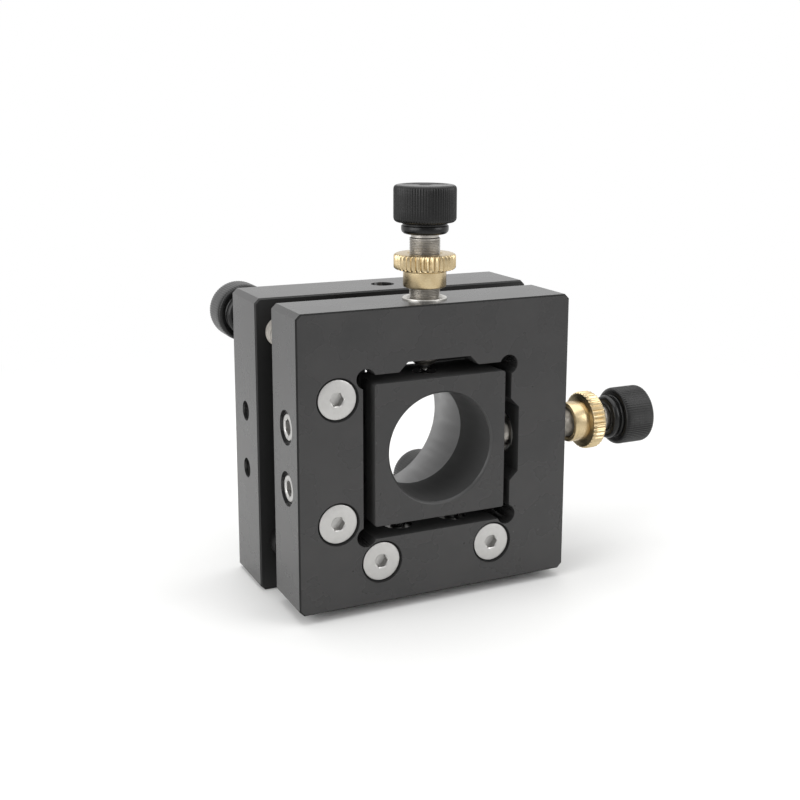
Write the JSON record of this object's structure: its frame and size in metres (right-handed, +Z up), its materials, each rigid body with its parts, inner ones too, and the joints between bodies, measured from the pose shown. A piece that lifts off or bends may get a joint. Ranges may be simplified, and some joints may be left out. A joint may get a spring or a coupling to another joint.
{
  "type": "kinematic mirror mount",
  "caption": "Square two-plate kinematic mount with tip and tilt screws and a sprung cell that two lock-nutted screws centre sideways and upwards.",
  "frame": {"origin": "mouth of the post hole, in the middle of the rear plate's underside", "axes": "+Z up, +Y from the front face to the back along the light path, +X to the right seen from the front"},
  "size_m": [0.0861, 0.0499, 0.0848],
  "materials": {
    "black_anodised": "matt black anodised, bead blasted",
    "black_keeper": "matt black anodised",
    "black_knob": "knurled, black anodised",
    "plated_screw": "nickel plated",
    "threaded_steel": "fine rolled thread",
    "turned_steel": "turned stainless",
    "polished_steel": "hardened and polished",
    "spring_wire": "drawn wire",
    "brass": "turned and knurled brass"
  },
  "bodies": {
    "rear": {"rear_plate": "black_anodised", "pitch_bushing": "turned_steel", "yaw_bushing": "turned_steel", "pivot_stud": "turned_steel", "rear_spring_pins": "polished_steel", "left_return_spring": "spring_wire", "lower_return_spring": "spring_wire"},
    "pivot": {"pivot_ball": "polished_steel"},
    "front": {"front_plate": "black_anodised", "keeper_plate": "black_keeper", "face_screws": "plated_screw", "cone_seat": "polished_steel", "groove_seat": "polished_steel", "flat_seat": "polished_steel", "front_spring_pins": "polished_steel", "x_bushing": "turned_steel", "y_bushing": "turned_steel", "side_plunger_sleeves": "plated_screw", "lower_plunger_sleeves": "plated_screw", "side_plunger_springs": "spring_wire", "lower_plunger_springs": "spring_wire"},
    "side_noses": {"side_plunger_noses": "polished_steel"},
    "lower_noses": {"lower_plunger_noses": "polished_steel"},
    "cell": {"mirror_cell": "black_anodised", "x_wear_pad": "polished_steel", "y_wear_pad": "polished_steel"},
    "x_tip": {"x_ball": "polished_steel"},
    "x_drive": {"x_screw": "threaded_steel", "x_knob": "black_knob"},
    "x_nut": {"x_locknut": "brass"},
    "y_tip": {"y_ball": "polished_steel"},
    "y_drive": {"y_screw": "threaded_steel", "y_knob": "black_knob"},
    "y_nut": {"y_locknut": "brass"},
    "pitch_tip": {"pitch_ball": "polished_steel"},
    "pitch_drive": {"pitch_screw": "threaded_steel", "pitch_knob": "black_knob"},
    "yaw_tip": {"yaw_ball": "polished_steel"},
    "yaw_drive": {"yaw_screw": "threaded_steel", "yaw_knob": "black_knob"}
  },
  "joints": [
    {"name": "pitch_advance", "type": "slide", "parent": "rear", "child": "pitch_tip", "axis": [0, 1, 0], "range_m": [-0.00191, 0.00191]},
    {"name": "pitch_knob_turn", "type": "hinge", "parent": "pitch_tip", "child": "pitch_drive", "pos_m": [-0.026, 0.0075, 0.055], "axis": [0, 1, 0], "range_deg": [-2165, 2165]},
    {"name": "yaw_advance", "type": "slide", "parent": "rear", "child": "yaw_tip", "axis": [0, 1, 0], "range_m": [-0.00191, 0.00191]},
    {"name": "yaw_knob_turn", "type": "hinge", "parent": "yaw_tip", "child": "yaw_drive", "pos_m": [0.0185, 0.0075, 0.0105], "axis": [0, 1, 0], "range_deg": [-2165, 2165]},
    {"name": "pitch_tilt", "type": "hinge", "parent": "rear", "child": "pivot", "pos_m": [-0.026, -0.01219, 0.0105], "axis": [1, 0, 0], "range_deg": [-2.46, 2.46], "deforming": ["left_return_spring"]},
    {"name": "yaw_tilt", "type": "hinge", "parent": "pivot", "child": "front", "pos_m": [-0.026, -0.01219, 0.0105], "axis": [0, 0, 1], "range_deg": [-2.46, 2.46], "deforming": ["lower_return_spring"]},
    {"name": "x_advance", "type": "slide", "parent": "front", "child": "x_tip", "axis": [1, 0, 0], "range_m": [-0.00127, 0.00127]},
    {"name": "x_knob_turn", "type": "hinge", "parent": "x_tip", "child": "x_drive", "pos_m": [0.03, -0.0208, 0.0323], "axis": [1, 0, 0], "range_deg": [-1445, 1445]},
    {"name": "x_nut_turn", "type": "hinge", "parent": "x_drive", "child": "x_nut", "pos_m": [0.03, -0.0208, 0.0323], "axis": [1, 0, 0], "range_deg": [-2160, 3600]},
    {"name": "y_advance", "type": "slide", "parent": "front", "child": "y_tip", "axis": [0, 0, 1], "range_m": [-0.00127, 0.00127]},
    {"name": "y_knob_turn", "type": "hinge", "parent": "y_tip", "child": "y_drive", "pos_m": [0, -0.0208, 0.062], "axis": [0, 0, 1], "range_deg": [-1445, 1445]},
    {"name": "y_nut_turn", "type": "hinge", "parent": "y_drive", "child": "y_nut", "pos_m": [0, -0.0208, 0.062], "axis": [0, 0, 1], "range_deg": [-2160, 3600]},
    {"name": "side_nose_slide", "type": "slide", "parent": "front", "child": "side_noses", "axis": [1, 0, 0], "range_m": [-0.00128, 0.00128], "deforming": ["side_plunger_springs"]},
    {"name": "lower_nose_slide", "type": "slide", "parent": "front", "child": "lower_noses", "axis": [0, 0, 1], "range_m": [-0.00128, 0.00128], "deforming": ["lower_plunger_springs"]},
    {"name": "cell_lift", "type": "slide", "parent": "side_noses", "child": "cell", "axis": [0, 0, 1], "range_m": [-0.00128, 0.00128]}
  ],
  "couplings": [
    {"joint": "pitch_knob_turn", "follows": "pitch_advance", "rad_per_m": 19790},
    {"joint": "yaw_knob_turn", "follows": "yaw_advance", "rad_per_m": 19790},
    {"joint": "x_knob_turn", "follows": "x_advance", "rad_per_m": 19790},
    {"joint": "y_knob_turn", "follows": "y_advance", "rad_per_m": 19790},
    {"joint": "pitch_tilt", "follows": "pitch_advance", "rad_per_m": -22.472},
    {"joint": "yaw_tilt", "follows": "yaw_advance", "rad_per_m": 22.472},
    {"joint": "side_nose_slide", "follows": "x_advance", "ratio": 1},
    {"joint": "lower_nose_slide", "follows": "y_advance", "ratio": 1},
    {"joint": "cell_lift", "follows": "y_advance", "ratio": 1}
  ]
}
